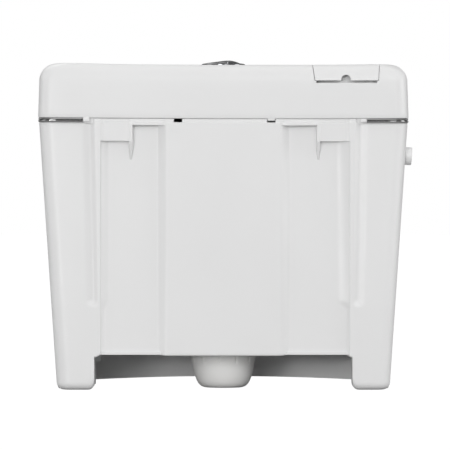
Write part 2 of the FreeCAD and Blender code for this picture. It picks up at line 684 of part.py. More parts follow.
def block_basket():
    """Slotted tray for a cleaning block, hung from the lid under the flap."""
    x0, x1 = -161.0, -104.0
    y0, y1 = 27.0, 53.6
    z0, z1 = 282.0, 337.95
    tray = box(x0, y0, z0, x1, y1, z1).cut(box(x0 + 1.6, y0 + 1.6, z0 + 1.6, x1 - 1.6, y1 - 1.6, z1 + 1))
    for index in range(7):
        low = x0 + 4.5 + 7.2 * index
        tray = tray.cut(box(low, y0 - 1, z0 + 6, low + 4.0, y1 + 1, z1 - 12))
        tray = tray.cut(box(low, y0 + 4, z0 - 1, low + 4.0, y1 - 4, z0 + 3))
    ears = [box(x0 - 14.5, 33, z1 - 2, x0 + 0.5, 50, z1), box(x1 - 0.5, 33, z1 - 2, x1 + 14.0, 50, z1)]
    return joined([tray] + ears)


def button_bezel():
    ring = revolved([(20.7, 354.05), (23.8, 354.05), (23.6, 355.4), (22.6, 356.6), (20.7, 356.9)], 0, VALVE_Y)
    return ring


def button_sleeve():
    """Threaded sleeve through the lid with a guide floor for both push rods."""
    sleeve = tube(21.9, 20.7, 0, VALVE_Y, 318.0, 354.0)
    floor = cylinder(21.0, 0, VALVE_Y, 318.0, 320.0)
    body = joined([sleeve, floor])
    body = body.cut(cylinder(2.9, ROD_ARM, VALVE_Y + ROD_OFFSET_Y, 310, 325))
    return body.cut(cylinder(2.9, -ROD_ARM, VALVE_Y - ROD_OFFSET_Y, 310, 325))


def button_nut():
    return notched_nut(28.0, 21.95, 0, VALVE_Y, 344.5, 351.45, 10, 1.5)


def button_blank(x0, x1, crown):
    """Part of the round button between two X planes, with a shallow domed top."""
    post = cylinder(20.35, 0, VALVE_Y, 348.0, 365.0)
    dome = Part.makeSphere(62.0, vec(crown[0], VALVE_Y, crown[1] - 62.0))
    slab = box(x0, VALVE_Y - 25, 347.0, x1, VALVE_Y + 25, 366.0)
    return post.common(dome).common(slab)


def full_flush_button():
    return button_blank(-4.7, 25.0, (-3.0, 360.6))


def half_flush_button():
    return button_blank(-25.0, -5.3, (-6.0, 359.6))


def push_rod(side):
    x = side * ROD_ARM
    y = VALVE_Y + side * ROD_OFFSET_Y
    tip_z = LEVER_PIVOT_Z + 2.5 + ROD_R
    ball = Part.makeSphere(ROD_R, vec(x, y, tip_z))
    return joined([cylinder(ROD_R, x, y, tip_z, 347.95), ball])


def return_spring(side):
    x = side * ROD_ARM
    y = VALVE_Y + side * ROD_OFFSET_Y
    wire_r = 0.4
    radius = 3.3
    low = 320.1 + wire_r
    high = 347.6 - wire_r
    path = Part.Wire(Part.makeHelix((high - low) / 6.0, high - low, radius))
    profile = Part.Wire(Part.makeCircle(wire_r, vec(radius, 0, 0), vec(0, 1, 0.2)))
    coil = path.makePipeShell([profile], True, True)
    coil.translate(vec(x, y, low))
    return coil


def all_parts():
    skin = lid_skin()
    return {
        "tank_shell": tank_shell(),
        "trim_strip": trim_strip(),
        "side_inlet_plug": side_inlet_plug(),
        "side_plug_seal": side_plug_seal(),
        "side_plug_nut": side_plug_nut(),
        "valve_base": valve_base(),
        "base_gasket": base_gasket(),
        "valve_lock_nut": valve_lock_nut(),
        "outlet_nut": outlet_nut(),
        "outlet_seal": outlet_seal(),
        "valve_cage": valve_cage(),
        "cage_bridge": cage_bridge(),
        "full_lever_pin": lever_pin(1),
        "half_lever_pin": lever_pin(-1),
        "full_lever": rocker_lever(1),
        "half_lever": rocker_lever(-1),
        "overflow_tube": overflow_tube(),
        "valve_seal": valve_seal(),
        "half_flush_float": half_flush_float(),
        "fill_valve_shank": fill_valve_shank(),
        "fill_valve_washer": fill_valve_washer(),
        "fill_valve_nut": fill_valve_nut(),
        "fill_valve_riser": fill_valve_riser(),
        "fill_valve_head": fill_valve_head(),
        "float_lever_pin": float_lever_pin(),
        "float_lever": float_lever(),
        "float_rod": float_rod(),
        "float_cup": float_cup(),
        "lid_shell": lid_shell(skin),
        "access_flap": access_flap(skin),
        "block_basket": block_basket(),
        "button_bezel": button_bezel(),
        "button_sleeve": button_sleeve(),
        "button_nut": button_nut(),
        "full_flush_button": full_flush_button(),
        "half_flush_button": half_flush_button(),
        "full_push_rod": push_rod(1),
        "half_push_rod": push_rod(-1),
        "full_spring": return_spring(1),
        "half_spring": return_spring(-1),
    }


os.makedirs("parts", exist_ok=True)
for name, shape in all_parts().items():
    shape.exportStep("parts/" + name + ".step")
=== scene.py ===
import json
import math

import bmesh
import bpy
import numpy as np
from mathutils import Matrix, Vector


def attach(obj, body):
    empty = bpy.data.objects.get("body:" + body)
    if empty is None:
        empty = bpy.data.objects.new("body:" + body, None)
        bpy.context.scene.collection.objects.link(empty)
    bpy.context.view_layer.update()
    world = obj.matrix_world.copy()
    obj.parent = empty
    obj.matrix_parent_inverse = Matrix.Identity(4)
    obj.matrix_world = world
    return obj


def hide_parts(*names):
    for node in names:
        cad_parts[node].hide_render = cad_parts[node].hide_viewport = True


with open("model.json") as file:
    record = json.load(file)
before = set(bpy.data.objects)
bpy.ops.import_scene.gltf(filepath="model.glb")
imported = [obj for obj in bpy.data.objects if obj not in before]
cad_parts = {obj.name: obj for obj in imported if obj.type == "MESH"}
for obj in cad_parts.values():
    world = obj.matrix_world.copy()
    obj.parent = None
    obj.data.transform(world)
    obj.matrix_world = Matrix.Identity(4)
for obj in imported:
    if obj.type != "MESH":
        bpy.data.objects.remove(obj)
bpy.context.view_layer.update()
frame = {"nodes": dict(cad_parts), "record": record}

MM = 0.001

# Sizes in millimetres. The tank: half widths, front and rear planes, and corner and bow radii.
HALF_BASE, HALF_TOP, TAPER = 180.2, 199.9, 290.0
REAR, FRONT_BASE, FRONT_TOP = 70.0, -62.0, -70.0
REAR_R, FRONT_R, BOW_R = 16.0, 40.0, 900.0
SEAT, RIM_TOP = 289.0, 293.7
FLOOR_LOW, FLOOR_TOP = 38.0, 41.0
WALL, RIM_WALL = 3.0, 4.5
FOOT_X, FOOT_HIGH_X, FOOT_ROUND, FOOT_INNER_R = 139.5, 171.2, 7.5, 7.0
FRONT_LIFT, FRONT_ARC_R = 10.0, 3174.0  # the front's lower edge is a long shallow arch
RIM_HALF, FAR_TRIM = 151.8, 2.8         # the raised rim stops this much sooner on the -X side
PAD_LOW, LEDGE_LOW = 269.4, 286.8
LATCH_LOW, LATCH_HIGH, LATCH_START, LATCH_END = 290.1, 293.9, 44.5, 53.5
VALVE_Y = 10.0
# The lid. Its shoulder is higher and its ends are rounded tighter than on the CAD part.
LID_LOW, LID_SHOULDER, LID_ROUND = 294.0, 334.5, 19.5
LID_TOP = LID_SHOULDER + LID_ROUND
LID_HALF, LID_HALF_UP = 200.8, 199.5
LID_FRONT, LID_FRONT_UP = -71.0, -70.0
LID_REAR_ROUND, LID_WALL, LID_HOLE_R = 14.0, 2.5, 22.2
FLAP_LOW, FLAP_HIGH = -168.8, -96.4
FLAP_Y, FLAP_Z, FLAP_EDGE = 25.5, 351.8, 334.4
NOTCH_R = 5.3
BUTTON_R, BUTTON_LOW = 20.3, 348.0
SAG, LEAN, SPAN = 0.9, 0.5, 200.0
MERGE = 0.002


def clamp(v, low=0.0, high=1.0):
    return min(max(v, low), high)


def smooth(v):
    v = clamp(v)
    return v * v * (3.0 - 2.0 * v)


def mix(a, b, t):
    return a + (b - a) * t


def sag(x, z):
    """The moulded rim and lid dip a little towards the middle and lean to one side."""
    dip = -SAG * (1.0 - min(1.0, (x / SPAN) ** 2)) + LEAN * x / SPAN
    crown = 0.95 * smooth((x - 90.0) / 80.0) + 0.4 * smooth((-x - 100.0) / 70.0) - 1.3
    return dip * smooth((z - 235.0) / 52.0) + crown * smooth((z - 305.0) / 45.0)


def half_at(z):
    return mix(HALF_BASE, HALF_TOP, z / TAPER)


def front_at(z):
    return mix(FRONT_BASE, FRONT_TOP, z / TAPER)


# ---------------------------------------------------------------- mesh helpers

def build(name, verts, faces, mat, body, replaced=(), slot=None, sharp=32.0, bend=True):
    """Makes one object from vertices in millimetres, with sharp edges marked by angle."""
    bm = bmesh.new()
    made = []
    for x, y, z in verts:
        lift = sag(x, z) if bend else 0.0
        made.append(bm.verts.new((x * MM, y * MM, (z + lift) * MM)))
    for face in faces:
        ids = []
        for index in face:
            if not ids or index != ids[-1]:
                ids.append(index)
        if len(set(ids)) > 2:
            try:
                bm.faces.new([made[i] for i in ids])
            except ValueError:
                pass
    bmesh.ops.remove_doubles(bm, verts=bm.verts, dist=MERGE * MM)
    bmesh.ops.dissolve_degenerate(bm, edges=bm.edges, dist=1e-7)
    loose = [v for v in bm.verts if not v.link_faces]
    bmesh.ops.delete(bm, geom=loose, context="VERTS")
    bmesh.ops.recalc_face_normals(bm, faces=bm.faces)
    return from_bm(name, bm, mat, body, replaced, sharp)


def from_bm(name, bm, mat, body, replaced=(), sharp=32.0):
    """Turns a bmesh into a shaded object, parents it to its body's empty and hides the parts it replaces."""
    limit = math.radians(sharp)
    for face in bm.faces:
        face.smooth = True
    for edge in bm.edges:
        if len(edge.link_faces) == 2:
            edge.smooth = edge.calc_face_angle(0.0) < limit
    mesh = bpy.data.meshes.new(name)
    bm.to_mesh(mesh)
    bm.free()
    obj = bpy.data.objects.new(name, mesh)
    bpy.context.scene.collection.objects.link(obj)
    if mat is not None:
        mesh.materials.append(mat)
    if body:
        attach(obj, body)
    if replaced:
        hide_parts(*replaced)
    return obj


class Shell:
    """Collects vertices and faces from grids, loops and boxes."""

    def __init__(self):
        self.v = []
        self.f = []

    def grid(self, rows, closed_rows=False, closed_cols=False):
        """rows: list of equally long point lists; faces join neighbours."""
        start = len(self.v)
        count = len(rows[0])
        for row in rows:
            self.v.extend(row)
        last_row = len(rows) if closed_rows else len(rows) - 1
        last_col = count if closed_cols else count - 1
        for i in range(last_row):
            here = start + i * count
            there = start + ((i + 1) % len(rows)) * count
            for j in range(last_col):
                after = (j + 1) % count
                self.f.append((here + j, there + j, there + after, here + after))

    def polygon(self, points):
        """One flat face through the points."""
        start = len(self.v)
        self.v.extend(points)
        self.f.append(tuple(range(start, start + len(points))))

    def prism(self, outline, low, high, axis):
        """Solid from a 2-D outline pulled along one axis (0 X, 1 Y, 2 Z)."""
        def place(point, depth):
            full = list(point)
            full.insert(axis, depth)
            return tuple(full)
        loops = [[place(p, d) for p in outline] for d in (low, high)]
        self.grid(loops, closed_cols=True)
        self.polygon(loops[0])
        self.polygon(loops[1])

    def rounded_box(self, low, high, radius, steps=3):
        """Box with rounded upright edges and softened top and bottom edges."""
        turns = [0.5 * math.pi * k / steps for k in range(steps + 1)]
        bottom = [(low[2] + radius * (1 - math.cos(turn)), radius * (1 - math.sin(turn))) for turn in turns]
        top = [(high[2] - radius * (1 - math.cos(turn)), radius * (1 - math.sin(turn)))
               for turn in reversed(turns)]
        loops = [self.corner_loop(low, high, radius, inset, z, steps) for z, inset in bottom + top]
        self.grid(loops, closed_cols=True)
        self.polygon(loops[0])
        self.polygon(loops[-1])

    @staticmethod
    def corner_loop(low, high, radius, inset, z, steps):
        """Plan outline of a rounded box at one height, drawn in by inset."""
        loop = []
        r = max(radius - inset, 0.01)
        left, right = low[0] + radius, high[0] - radius
        front, rear = low[1] + radius, high[1] - radius
        for cx, cy, start in ((right, rear, 0), (left, rear, 90), (left, front, 180), (right, front, 270)):
            for k in range(steps + 1):
                turn = math.radians(start + 90.0 * k / steps)
                loop.append((cx + r * math.cos(turn), cy + r * math.sin(turn), z))
        return loop

    def revolve(self, profile, steps, place, warp=None):
        """Turns a closed profile of (radius, height) points about the local Z axis of a place."""
        rings = []
        for r, z in profile:
            ring = []
            for k in range(steps):
                turn = 2 * math.pi * k / steps
                radius = warp(r, z, turn) if warp else r
                ring.append(tuple(place @ Vector((radius * math.cos(turn), radius * math.sin(turn), z))))
            rings.append(ring)
        self.grid(rings, closed_rows=True, closed_cols=True)

    def make(self, name, mat, body, replaced=(), slot=None, **more):
        return build(name, self.v, self.f, mat, body, replaced, slot, **more)


def arc_steps(count):
    """Even steps from 0 to 1."""
    return [k / count for k in range(count + 1)]


# ---------------------------------------------------------------- materials

def new_material(name):
    mat = bpy.data.materials.new(name)
    mat.use_nodes = True
    tree = mat.node_tree
    shader = tree.nodes["Principled BSDF"]
    place = tree.nodes.new("ShaderNodeTexCoord")
    return mat, tree, shader, place


def noise(tree, place, scale, detail):
    node = tree.nodes.new("ShaderNodeTexNoise")
    node.inputs["Scale"].default_value = scale
    node.inputs["Detail"].default_value = detail
    node.inputs["Roughness"].default_value = 0.5
    tree.links.new(place.outputs["Object"], node.inputs["Vector"])
    return node


def ramp(tree, source, low, high):
    """Maps a noise value onto a span of colours or numbers."""
    node = tree.nodes.new("ShaderNodeValToRGB")
    node.color_ramp.elements[0].position = 0.3
    node.color_ramp.elements[1].position = 0.7
    node.color_ramp.elements[0].color = low
    node.color_ramp.elements[1].color = high
    tree.links.new(source, node.inputs["Fac"])
    return node


def grey(v):
    return (v, v, v, 1.0)


def tint(tree, shader, source, colour, down, up):
    """Base colour that drifts between a darker and a lighter tone."""
    low = tuple(c * down for c in colour) + (1.0,)
    high = tuple(min(1.0, c * up) for c in colour) + (1.0,)
    tree.links.new(ramp(tree, source, low, high).outputs["Color"], shader.inputs["Base Color"])


def polish(tree, shader, source, low, high):
    """Roughness that drifts between two values."""
    tree.links.new(ramp(tree, source, grey(low), grey(high)).outputs["Color"], shader.inputs["Roughness"])


def relief(tree, shader, source, strength, distance):
    """Very shallow surface ripple; the distance is in metres."""
    bump = tree.nodes.new("ShaderNodeBump")
    bump.inputs["Strength"].default_value = strength
    bump.inputs["Distance"].default_value = distance
    tree.links.new(source, bump.inputs["Height"])
    tree.links.new(bump.outputs["Normal"], shader.inputs["Normal"])


def moulded(name, colour, rough, vary, peel=420.0, depth=0.00004):
    """Moulded plastic: faint clouding in colour and sheen over a very shallow surface ripple."""
    mat, tree, shader, place = new_material(name)
    tint(tree, shader, noise(tree, place, 9.0, 2.0).outputs["Fac"], colour, 1.0 - vary, 1.0 + vary)
    polish(tree, shader, noise(tree, place, 60.0, 4.0).outputs["Fac"], rough - 0.04, rough + 0.05)
    relief(tree, shader, noise(tree, place, peel, 2.0).outputs["Fac"], 0.35, depth)
    return mat


def plated(name, colour, rough):
    """Metal or chrome plating: faint waviness and a little change in polish."""
    mat, tree, shader, place = new_material(name)
    shader.inputs["Metallic"].default_value = 1.0
    tint(tree, shader, noise(tree, place, 40.0, 3.0).outputs["Fac"], colour, 0.93, 1.05)
    polish(tree, shader, noise(tree, place, 300.0, 3.0).outputs["Fac"], rough * 0.6, rough * 1.5)
    relief(tree, shader, noise(tree, place, 120.0, 1.0).outputs["Fac"], 0.3, 0.00002)
    return mat


def soft_rubber(name, colour):
    """Rubber: a fine grain that breaks up both the sheen and the surface."""
    mat, tree, shader, place = new_material(name)
    tint(tree, shader, noise(tree, place, 150.0, 4.0).outputs["Fac"], colour, 0.7, 1.5)
    grain = noise(tree, place, 1500.0, 3.0)
    polish(tree, shader, grain.outputs["Fac"], 0.55, 0.8)
    relief(tree, shader, grain.outputs["Fac"], 0.5, 0.0001)
    return mat


WHITE = moulded("body_white", (0.80, 0.80, 0.80), rough=0.36, vary=0.008)
# Painted light: the nut's white is set brighter than the body's white to stand in for the low light it gets
# too little of under the tank.
NUT_WHITE_PAINTED_BRIGHT = moulded("nut_white_painted_bright", (0.92, 0.915, 0.90), rough=0.45, vary=0.015, peel=700.0,
                    depth=0.00006)
VALVE_WHITE = moulded("valve_white", (0.74, 0.76, 0.76), rough=0.42, vary=0.02, peel=600.0)
VALVE_GREY = moulded("valve_blue_grey", (0.30, 0.40, 0.50), rough=0.42, vary=0.05, peel=600.0)
CHROME = plated("seam_chrome", (0.52, 0.52, 0.52), 0.07)
DARK_CHROME = plated("button_chrome", (0.25, 0.255, 0.26), 0.12)
STEEL = plated("spring_steel", (0.55, 0.55, 0.56), 0.25)
RUBBER = soft_rubber("black_rubber", (0.03, 0.03, 0.03))

SLOT_MATERIALS = {
    "white_plastic": WHITE, "nut_plastic": NUT_WHITE_PAINTED_BRIGHT, "valve_plastic": VALVE_WHITE,
    "grey_plastic": VALVE_GREY, "rubber_seal": RUBBER, "chrome_trim": CHROME, "dark_chrome": DARK_CHROME,
    "spring_steel": STEEL}

for row in frame["record"]["subparts"]:
    node = frame["nodes"][row["node"]]
    node.data.materials.clear()
    node.data.materials.append(SLOT_MATERIALS[row["material_slot"]])


# ---------------------------------------------------------------- tank

# Distances from the middle: the plain panel and channel, the foot's inner edge and the outer band.
PANEL_X = [0, 9, 18, 27, 36, 42, 44.3, 44.7, 49, 53.3, 53.7, 56, 58.5, 60, 61, 61.8, 62.6, 63.6, 65, 66.5,
           67.6, 68.6, 69.6, 70.4, 71.2, 72.2, 74, 78, 84, 90, 94.5, 96.8, 97.6, 98.0, 98.4, 99.2, 100.6,
           101.4, 101.8, 102.2, 102.8, 104.5, 108, 113, 118, 121.5, 123.5, 124.6, 125.6, 126.8, 128, 129.2,
           130.2, 131, 131.6, 132, 132.3, 132.6, 132.9, 133.2, 133.6, 134.1, 134.7, 135.4, 136.2, 137,
           137.8, 138.6, 139.45]
FOOT_COLUMNS = [139.5, 139.55, 140, 141, 142.2, 143.6, 145, 146.5]
OUTER_COLUMNS = [148, 149.4, 150.6, 151.2, 151.8, 152.2, 154.5, 158]
# Canonical places on the +X side and where the same features stand on the wider -X side.
NEAR = [0.0, 40.0, 44.3, 53.7, 60.0, 78.0, 97.8, 102.2, 131.0, 150.0, 200.0]
FAR = [0.0, 41.0, 47.1, 56.5, 60.0, 78.0, 100.7, 105.1, 135.0, 154.0, 204.0]
# Heights at which the wall is sampled, close together where an edge or a ledge turns.
ROWS_Z = [0, 0.25, 0.7, 1.3, 2.1, 3, 4.1, 5.4, 7, 9, 11.5, 15, 20, 26, 31, 34, 35, 35.6, 36.1, 36.6, 37.1,
          37.6, 38.1, 38.8, 39.8, 41, 44, 50, 58, 66, 75, 83, 87, 89, 91, 93, 95, 97, 99, 102, 106, 112,
          120, 130, 140, 150, 160, 170, 180, 190, 200, 210, 220, 229, 237, 243, 247, 249, 250.5, 252.5,
          255.5, 258.5, 261.5, 264.5, 267, 268.4, 269.2, 269.4, 269.8, 270.6, 272.5, 275, 279, 282.5, 285,
          286.2, 286.6, 286.8, 287.2, 287.8, 288.4, 288.8, 289.0, 289.3, 289.7, 290.1, 290.5, 291, 292,
          293, 293.4, 293.7]
# Steps round half a plan outline: rear corner, end, front corner and bow.
WALL_STEPS = (12, 12, 14, 22)
RING_STEPS = (10, 8, 12, 20)
CHANNEL_X, CHANNEL_SLOPE = 61.4, 9.6    # start and width of the channel's inner slope
RIB_X = 132.0                           # outer face of the channel, where the rib stands
OUTER_RECESS = 3.0
HOLE_STEPS = 48


def columns(side):
    """Distances from the middle at which the rear wall is sampled on one side."""
    if side > 0:
        return PANEL_X + FOOT_COLUMNS + OUTER_COLUMNS
    shifted = [float(np.interp(x, NEAR, FAR)) for x in PANEL_X]
    outer = [x - FAR_TRIM for x in OUTER_COLUMNS if x > 149.5] + [152.2, 154.5, 158]
    return sorted(set([round(x, 3) for x in shifted + FOOT_COLUMNS + outer]))


def canonical(x):
    """Distance from the middle, undoing the wider spacing of the -X side."""
    return x if x >= 0 else float(np.interp(-x, FAR, NEAR))


def rim_half(x):
    """Half width of the raised rim between the two ends of the bright strip."""
    return RIM_HALF if x >= 0 else RIM_HALF - FAR_TRIM


def on_foot(x):
    return abs(x) > FOOT_X + 0.02


def at_latch(x):
    """True across either of the two latch slots in the rim."""
    return LATCH_START < canonical(x) < LATCH_END


def channel_depth(z):
    return 2.5 + 6.0 * z / TAPER


def band_rise(z):
    """0 at the foot of the outer bands, 1 at the rim."""
    return clamp((z - 92.0) / 198.0)


def rear_depth(x, z, off):
    """How far the rear wall lies in from its proudest plane."""
    ax = canonical(x)
    full = channel_depth(z)
    slope = clamp((ax - (CHANNEL_X - 0.8 * off)) / (CHANNEL_SLOPE + 0.3 * off))
    slope = 0.6 * slope ** 1.15 + 0.4 * smooth(slope)
    upper = smooth((z - 88.0) / 9.0)
    upper_start, share = (124.4, 0.62) if x >= 0 else (120.8, 0.78)
    cove_start, cove_end = mix(129.2, upper_start, upper) + 0.6 * off, 132.3 + off
    cove = clamp((ax - cove_start) / (cove_end - cove_start))
    cove = 1.0 - share * (0.55 * cove + 0.45 * cove ** 2)
    wall = 1.0 - smooth((ax - (RIB_X + off)) / 1.3)
    depth = full * slope * cove * wall
    if off == 0.0:
        depth = ledge_depth(ax, z, depth, full)
    return max(depth, outer_depth(ax, z))


def outer_depth(ax, z):
    """Shallow valley outside a rib; it runs out in a round end above the feet."""
    if ax < 133.6:
        return 0.0
    rise = band_rise(z)
    recess = OUTER_RECESS * rise
    crest = mix(134.4, 138.4, rise)
    valley = (2.0 + recess) * smooth((z - 89.5) / 7.5)
    foot = crest + 6.0
    if ax <= foot:
        return valley * smooth((ax - crest) / (foot - crest))
    return mix(valley, recess, smooth((ax - foot) / 9.0))


def ledge_depth(ax, z, depth, full):
    """Fills the head of a channel: inner shelf, outer pad and the pointed gusset between them."""
    if z > LEDGE_LOW - 0.1 and ax < 100.0:
        return min(depth, 0.8) * smooth((292.0 - z) / 3.0) * (1.0 - smooth((ax - 65.0) / 2.5))
    if z > PAD_LOW - 0.1 and ax >= 101.6:
        return min(depth, 1.5 * smooth((133.0 - ax) / 3.4) * (0.8 if ax < 103 else 1.0))
    if 97.9 <= ax <= 101.9 and z > 249.0:
        rise = clamp((z - 249.5) / (PAD_LOW - 249.5))
        width = 0.8 + 1.2 * clamp(1.6 * rise)
        inside = smooth((width - abs(ax - 99.9) + 0.35) / 0.7)
        return mix(depth, mix(full - 0.8, 0.25, min(1.0, 1.05 * rise)), inside)
    return depth


def wall_low(kind, x, y):
    """Height of the tank wall's lower edge at a point of the plan outline."""
    ax = abs(x)
    if kind == "rear":
        if on_foot(x):
            t = clamp((ax - FOOT_X) / FOOT_INNER_R)
            return FOOT_INNER_R - FOOT_INNER_R * math.sqrt(1.0 - (1.0 - t) ** 2)
        low = mix(36.6, 38.0, smooth((canonical(x) - 62.0) / 9.0))
        return low - 3.0 * smooth((ax - 131.0) / 8.0)
    if kind == "front":
        return max(0.0, FRONT_LIFT - x * x / (2 * FRONT_ARC_R)) * smooth((-14.0 - y) / 10.0)
    return 0.0


def wall_top(kind, x):
    """Height of the tank wall's upper edge: the raised rim behind, the strip's seat elsewhere."""
    if kind == "rear" and abs(x) < rim_half(x):
        if at_latch(x):
            return LATCH_LOW
        return mix(RIM_TOP, SEAT, smooth((abs(x) - rim_half(x) + 1.2) / 1.2))
    return SEAT


def round_half(half, rear, front, rr, rf, steps):
    """Plan points of the +X half, from the start of the rear corner to the middle of the bowed front."""
    rear_steps, end_steps, corner_steps, bow_steps = steps
    bow_y = front + BOW_R
    reach = BOW_R - rf
    cx = half - rf
    cy = bow_y - math.sqrt(reach ** 2 - cx ** 2)
    bow = math.asin(cx / reach)
    points = []
    for t in arc_steps(rear_steps):
        turn = math.radians(90 - 90 * t)
        points.append((half - rr + rr * math.cos(turn), rear - rr + rr * math.sin(turn)))
    for t in arc_steps(end_steps)[1:-1]:
        points.append((half, mix(rear - rr, cy, t)))
    for t in arc_steps(corner_steps):
        turn = -t * (math.pi / 2 - bow)
        points.append((cx + rf * math.cos(turn), cy + rf * math.sin(turn)))
    for t in arc_steps(bow_steps)[1:]:
        turn = bow * (1 - t)
        points.append((BOW_R * math.sin(turn), bow_y - BOW_R * math.cos(turn)))
    return points


def outline(z, off):
    """Stations round the tank at one height: kind, x, y before any edge rounding."""
    plus, minus = half_outline(z, off, 1), half_outline(z, off, -1)
    return plus + minus[::-1][1:-1]


def half_outline(z, off, side):
    """Stations of one half: the modelled rear, then the rounded end and front."""
    half = half_at(z) - off
    rr, rf = REAR_R - off, FRONT_R - off
    rear = REAR - off
    band = rear - OUTER_RECESS * band_rise(z)
    points = [("rear", x, rear - rear_depth(side * x, z, off)) for x in columns(side)]
    for t in (0.35, 0.7):
        points.append(("rear", mix(158.0, half - rr, t), band))
    for index, (x, y) in enumerate(round_half(half, band, front_at(z) + off, rr, rf, WALL_STEPS)):
        points.append(("corner" if index <= WALL_STEPS[0] else "front", x, y))
    return [(kind, side * x, y) for kind, x, y in points]


def edge_round(kind, x, y):
    """Radius of the wall's lower outer edge."""
    if kind == "rear":
        return FOOT_ROUND if on_foot(x) else 2.0
    if kind == "corner":
        return FOOT_ROUND
    return mix(1.2, FOOT_ROUND, smooth((y - 20.0) / 30.0))


def inset_at(radius, rise):
    """How far a rounded edge draws in at a distance from its end."""
    if rise >= radius:
        return 0.0
    return radius - math.sqrt(max(0.0, radius ** 2 - (radius - rise) ** 2))


def outward(points):
    """Plan direction out of the wall at each station; the rear counts as flat."""
    normals = []
    for index, (kind, _, _) in enumerate(points):
        if kind == "rear":
            normals.append((0.0, 1.0))
            continue
        before, after = points[index - 1], points[(index + 1) % len(points)]
        dx, dy = after[1] - before[1], after[2] - before[2]
        size = math.hypot(dx, dy)
        normals.append((-dy / size, dx / size))
    return normals


def wall_skin(inner):
    """Rows of points for the outer or the inner face of the tank wall."""
    base_points = outline(0.0, 0.0)
    top_points = outline(SEAT, 0.0)
    lows = [wall_low(kind, x, y) for kind, x, y in base_points]
    tops = [wall_top(kind, x) for kind, x, y in top_points]
    rounds = [edge_round(kind, x, y) for kind, x, y in base_points]
    normals = outward(top_points)
    cache = {}

    def place(index, z):
        z = clamp(z, lows[index], tops[index])
        inset = inset_at(rounds[index], z - lows[index])
        thick = 0.0
        if inner:
            thick = mix(WALL, RIM_WALL, smooth((z - 274.0) / 4.0))
            if rounds[index] < 3.0:
                inset = 0.0
        else:
            if base_points[index][0] == "rear":
                inset += smooth((z - 289.5) / 0.8)
            inset += inset_at(0.7, tops[index] - z)
        if (z, thick) not in cache:
            cache[(z, thick)] = outline(z, thick)
        _, x, y = cache[(z, thick)][index]
        nx, ny = normals[index]
        return (x - nx * inset, y - ny * inset, z)

    return [[place(i, z) for i in range(len(base_points))] for z in ROWS_Z]


def tank_wall(shell):
    """Closed wall all the way round: the outer face, the edges and the inner face."""
    shell.grid(wall_skin(False) + wall_skin(True)[::-1], closed_rows=True, closed_cols=True)


def plan_ring(z, half, rear, front, rr, rf, rear_x=None):
    """Closed plan outline at height z with a straight rear, two round corners and a bowed front."""
    xs = rear_x or [(half - rr) * t for t in arc_steps(16)[:-1]]
    points = [(x, rear) for x in xs] + round_half(half, rear, front, rr, rf, RING_STEPS)
    plus = [(x, y, z) for x, y in points]
    return plus + [(-x, y, z) for x, y in reversed(points[1:-1])]


def plain_ring(z, level, off, rear_x=None):
    """Outline without channels, sized as the tank is at a level and drawn in by off."""
    return plan_ring(z, half_at(level) - off, REAR - off, front_at(level) + off, REAR_R - off, FRONT_R - off,
                     rear_x)


def tank_lip(shell):
    """Thin upstand that locates the lid, pierced behind the two latch slots."""
    rear_x = [0, 15, 30, 40, 44.4, 44.6, 47.2, 47.4, 49, 53.4, 53.6, 56.2, 56.4, 60, 80, 100, 120, 140,
              160, 175]
    rings = []
    for z, off in ((288.2, 3.0), (289.0, 2.9), (299.2, 2.9), (299.8, 3.2), (300.0, 3.7), (299.8, 4.2),
                   (299.2, 4.5), (288.2, 4.5)):
        ring = []
        for x, y, _ in plain_ring(z, SEAT, off, rear_x):
            pierced = z < LATCH_HIGH and at_latch(x) and y > 40
            ring.append((x, y, LATCH_HIGH if pierced else z))
        rings.append(ring)
    shell.grid(rings, closed_rows=True, closed_cols=True)


def floor_plate(shell, low, high, ring, holes):
    """Flat plate between two heights inside a plan ring, with round (x, y, radius) holes."""
    turns = [2 * math.pi * k / HOLE_STEPS for k in range(HOLE_STEPS)]
    loops = [[(x, y) for x, y, _ in ring]]
    for cx, cy, r in holes:
        loops.append([(cx + r * math.cos(turn), cy + r * math.sin(turn)) for turn in turns])
    bm = bmesh.new()
    for z in (low, high):
        edges = []
        for loop in loops:
            vs = [bm.verts.new((x, y, z)) for x, y in loop]
            for a, b in zip(vs, vs[1:] + vs[:1]):
                edges.append(bm.edges.new((a, b)))
        bmesh.ops.triangle_fill(bm, edges=edges, use_beauty=True)
    bm.verts.index_update()
    start = len(shell.v)
    shell.v.extend([tuple(v.co) for v in bm.verts])
    for face in bm.faces:
        shell.f.append(tuple(start + v.index for v in face.verts))
    bm.free()
    for loop in loops:
        shell.grid([[(x, y, z) for x, y in loop] for z in (low, high)], closed_cols=True)


def foot_box(shell, side):
    """Rounded closed foot between the wall's skin and its inner edge."""
    base, top, middle_z = 0.15, 38.5, 20.0
    profile = []
    for cx, r, start in ((FOOT_X + FOOT_INNER_R, FOOT_INNER_R, 180), (FOOT_HIGH_X - 1.5, 1.5, 270)):
        for t in arc_steps(8):
            turn = math.radians(start + 90 * t)
            profile.append((cx + r * math.cos(turn), base + r + r * math.sin(turn)))
    profile += [(FOOT_HIGH_X, top), (FOOT_X, top)]
    middle_x = (FOOT_X + FOOT_HIGH_X) / 2
    loops = []
    for y, inset in ((32.0, 1.2), (32.35, 0.35), (33.2, 0.0), (61.5, 0.0)):
        loop = []
        for x, z in profile:
            px = x + inset * (1 if x < middle_x else -1)
            pz = z + (inset if z < middle_z else 0.0)
            loop.append((side * px, y, pz))
        loops.append(loop)
    shell.grid(loops, closed_cols=True)
    shell.polygon(loops[0])
    shell.polygon(loops[-1])


def rim_lug(shell, side):
    """Small square lug at one end of the raised rim."""
    start, top = (144.6, 294.9) if side > 0 else (148.4, 293.6)
    low, high = sorted((side * start, side * (start + 6.8)))
    shell.rounded_box((low, 68.6, 289.6), (high, 70.7, top), 0.9)


